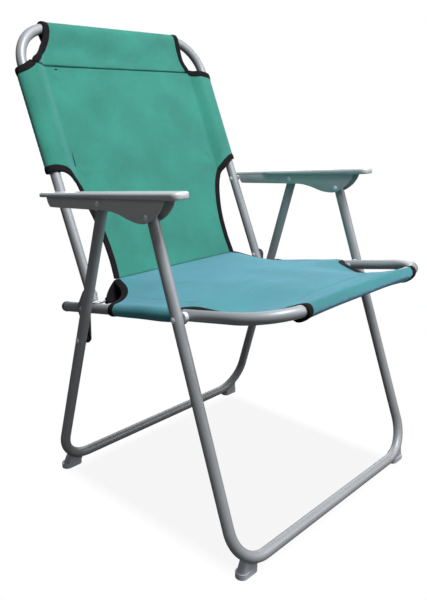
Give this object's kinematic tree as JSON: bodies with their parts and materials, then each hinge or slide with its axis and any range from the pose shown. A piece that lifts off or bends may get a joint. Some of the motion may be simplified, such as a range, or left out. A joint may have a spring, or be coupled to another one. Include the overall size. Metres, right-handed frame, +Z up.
{
  "type": "folding camp chair",
  "caption": "Folding camp chair: bent tube leg, seat and back frames with moulded armrests and a sewn polyester seat and back that fold flat.",
  "frame": {"origin": "on the floor at the middle of the unfolded chair", "axes": "+Z up, -Y towards the front of the seat, +X across the chair, to the right of a person who looks at it from the front"},
  "size_m": [0.5475, 0.6363, 0.8516],
  "materials": {
    "frame_tube": "grey metallic powder coat, semi-gloss",
    "foot_plastic": "dark grey moulded plastic",
    "rivet_steel": "bright domed rivet heads",
    "rod_steel": "bare drawn wire",
    "armrest_plastic": "grey moulded plastic, fine matt grain",
    "cap_plastic": "light grey moulded plastic",
    "plug_plastic": "dark moulded plastic",
    "link_steel": "dark grey painted sheet steel",
    "polyester": "teal woven polyester",
    "black_webbing": "black woven polyester webbing"
  },
  "bodies": {
    "rear_legs": {"rear_leg": "frame_tube", "rear_foot_left": "foot_plastic", "rear_foot_right": "foot_plastic", "rear_leg_rivets": "rivet_steel"},
    "armrest_left_body": {"armrest_left": "armrest_plastic", "armrest_rivets_left": "rivet_steel"},
    "armrest_right_body": {"armrest_right": "armrest_plastic", "armrest_rivets_right": "rivet_steel"},
    "front_legs": {"front_leg": "frame_tube", "front_foot_left": "foot_plastic", "front_foot_right": "foot_plastic", "front_leg_rivets": "rivet_steel"},
    "back": {"back_frame": "frame_tube", "back_cap_left": "cap_plastic", "back_cap_right": "cap_plastic", "back_fabric": "polyester"},
    "seat": {"seat_frame": "frame_tube", "seat_plug_left": "plug_plastic", "seat_plug_right": "plug_plastic", "seat_spacers": "cap_plastic", "seat_rivets": "rivet_steel", "cross_rod": "rod_steel", "seat_fabric": "polyester", "crease_flap": "black_webbing"},
    "link_left_body": {"link_left": "link_steel", "link_rivets_left": "rivet_steel", "link_spacer_left": "plug_plastic", "strap_loop": "black_webbing"},
    "link_right_body": {"link_right": "link_steel", "link_rivets_right": "rivet_steel", "link_spacer_right": "plug_plastic"}
  },
  "joints": [
    {"name": "back_fold", "type": "hinge", "parent": "armrest_left_body", "child": "back", "pos_m": [0, 0.173, 0.5465], "axis": [1, 0, 0], "range_deg": [0, 90]},
    {"name": "armrest_left_fold", "type": "hinge", "parent": "rear_legs", "child": "armrest_left_body", "pos_m": [0, 0.0255, 0.5585], "axis": [1, 0, 0], "range_deg": [-50.1, 0]},
    {"name": "armrest_right_fold", "type": "hinge", "parent": "rear_legs", "child": "armrest_right_body", "pos_m": [0, 0.0255, 0.5585], "axis": [1, 0, 0], "range_deg": [-50.1, 0]},
    {"name": "front_leg_fold", "type": "hinge", "parent": "armrest_left_body", "child": "front_legs", "pos_m": [0, -0.0915, 0.551], "axis": [1, 0, 0], "range_deg": [0, 85.6]},
    {"name": "link_left_fold", "type": "hinge", "parent": "back", "child": "link_left_body", "pos_m": [0, 0.0995, 0.3825], "axis": [1, 0, 0], "range_deg": [-160, 0]},
    {"name": "link_right_fold", "type": "hinge", "parent": "back", "child": "link_right_body", "pos_m": [0, 0.0995, 0.3825], "axis": [1, 0, 0], "range_deg": [-160, 0]},
    {"name": "seat_fold", "type": "hinge", "parent": "link_left_body", "child": "seat", "pos_m": [0, 0.115, 0.355], "axis": [1, 0, 0], "range_deg": [0, 73.1]}
  ],
  "couplings": [
    {"joint": "armrest_left_fold", "follows": "back_fold", "ratio": -0.55556},
    {"joint": "armrest_right_fold", "follows": "back_fold", "ratio": -0.55556},
    {"joint": "front_leg_fold", "follows": "back_fold", "ratio": 0.95},
    {"joint": "link_left_fold", "follows": "back_fold", "ratio": -1.7767},
    {"joint": "link_right_fold", "follows": "back_fold", "ratio": -1.7767},
    {"joint": "seat_fold", "follows": "back_fold", "ratio": 0.81111}
  ]
}
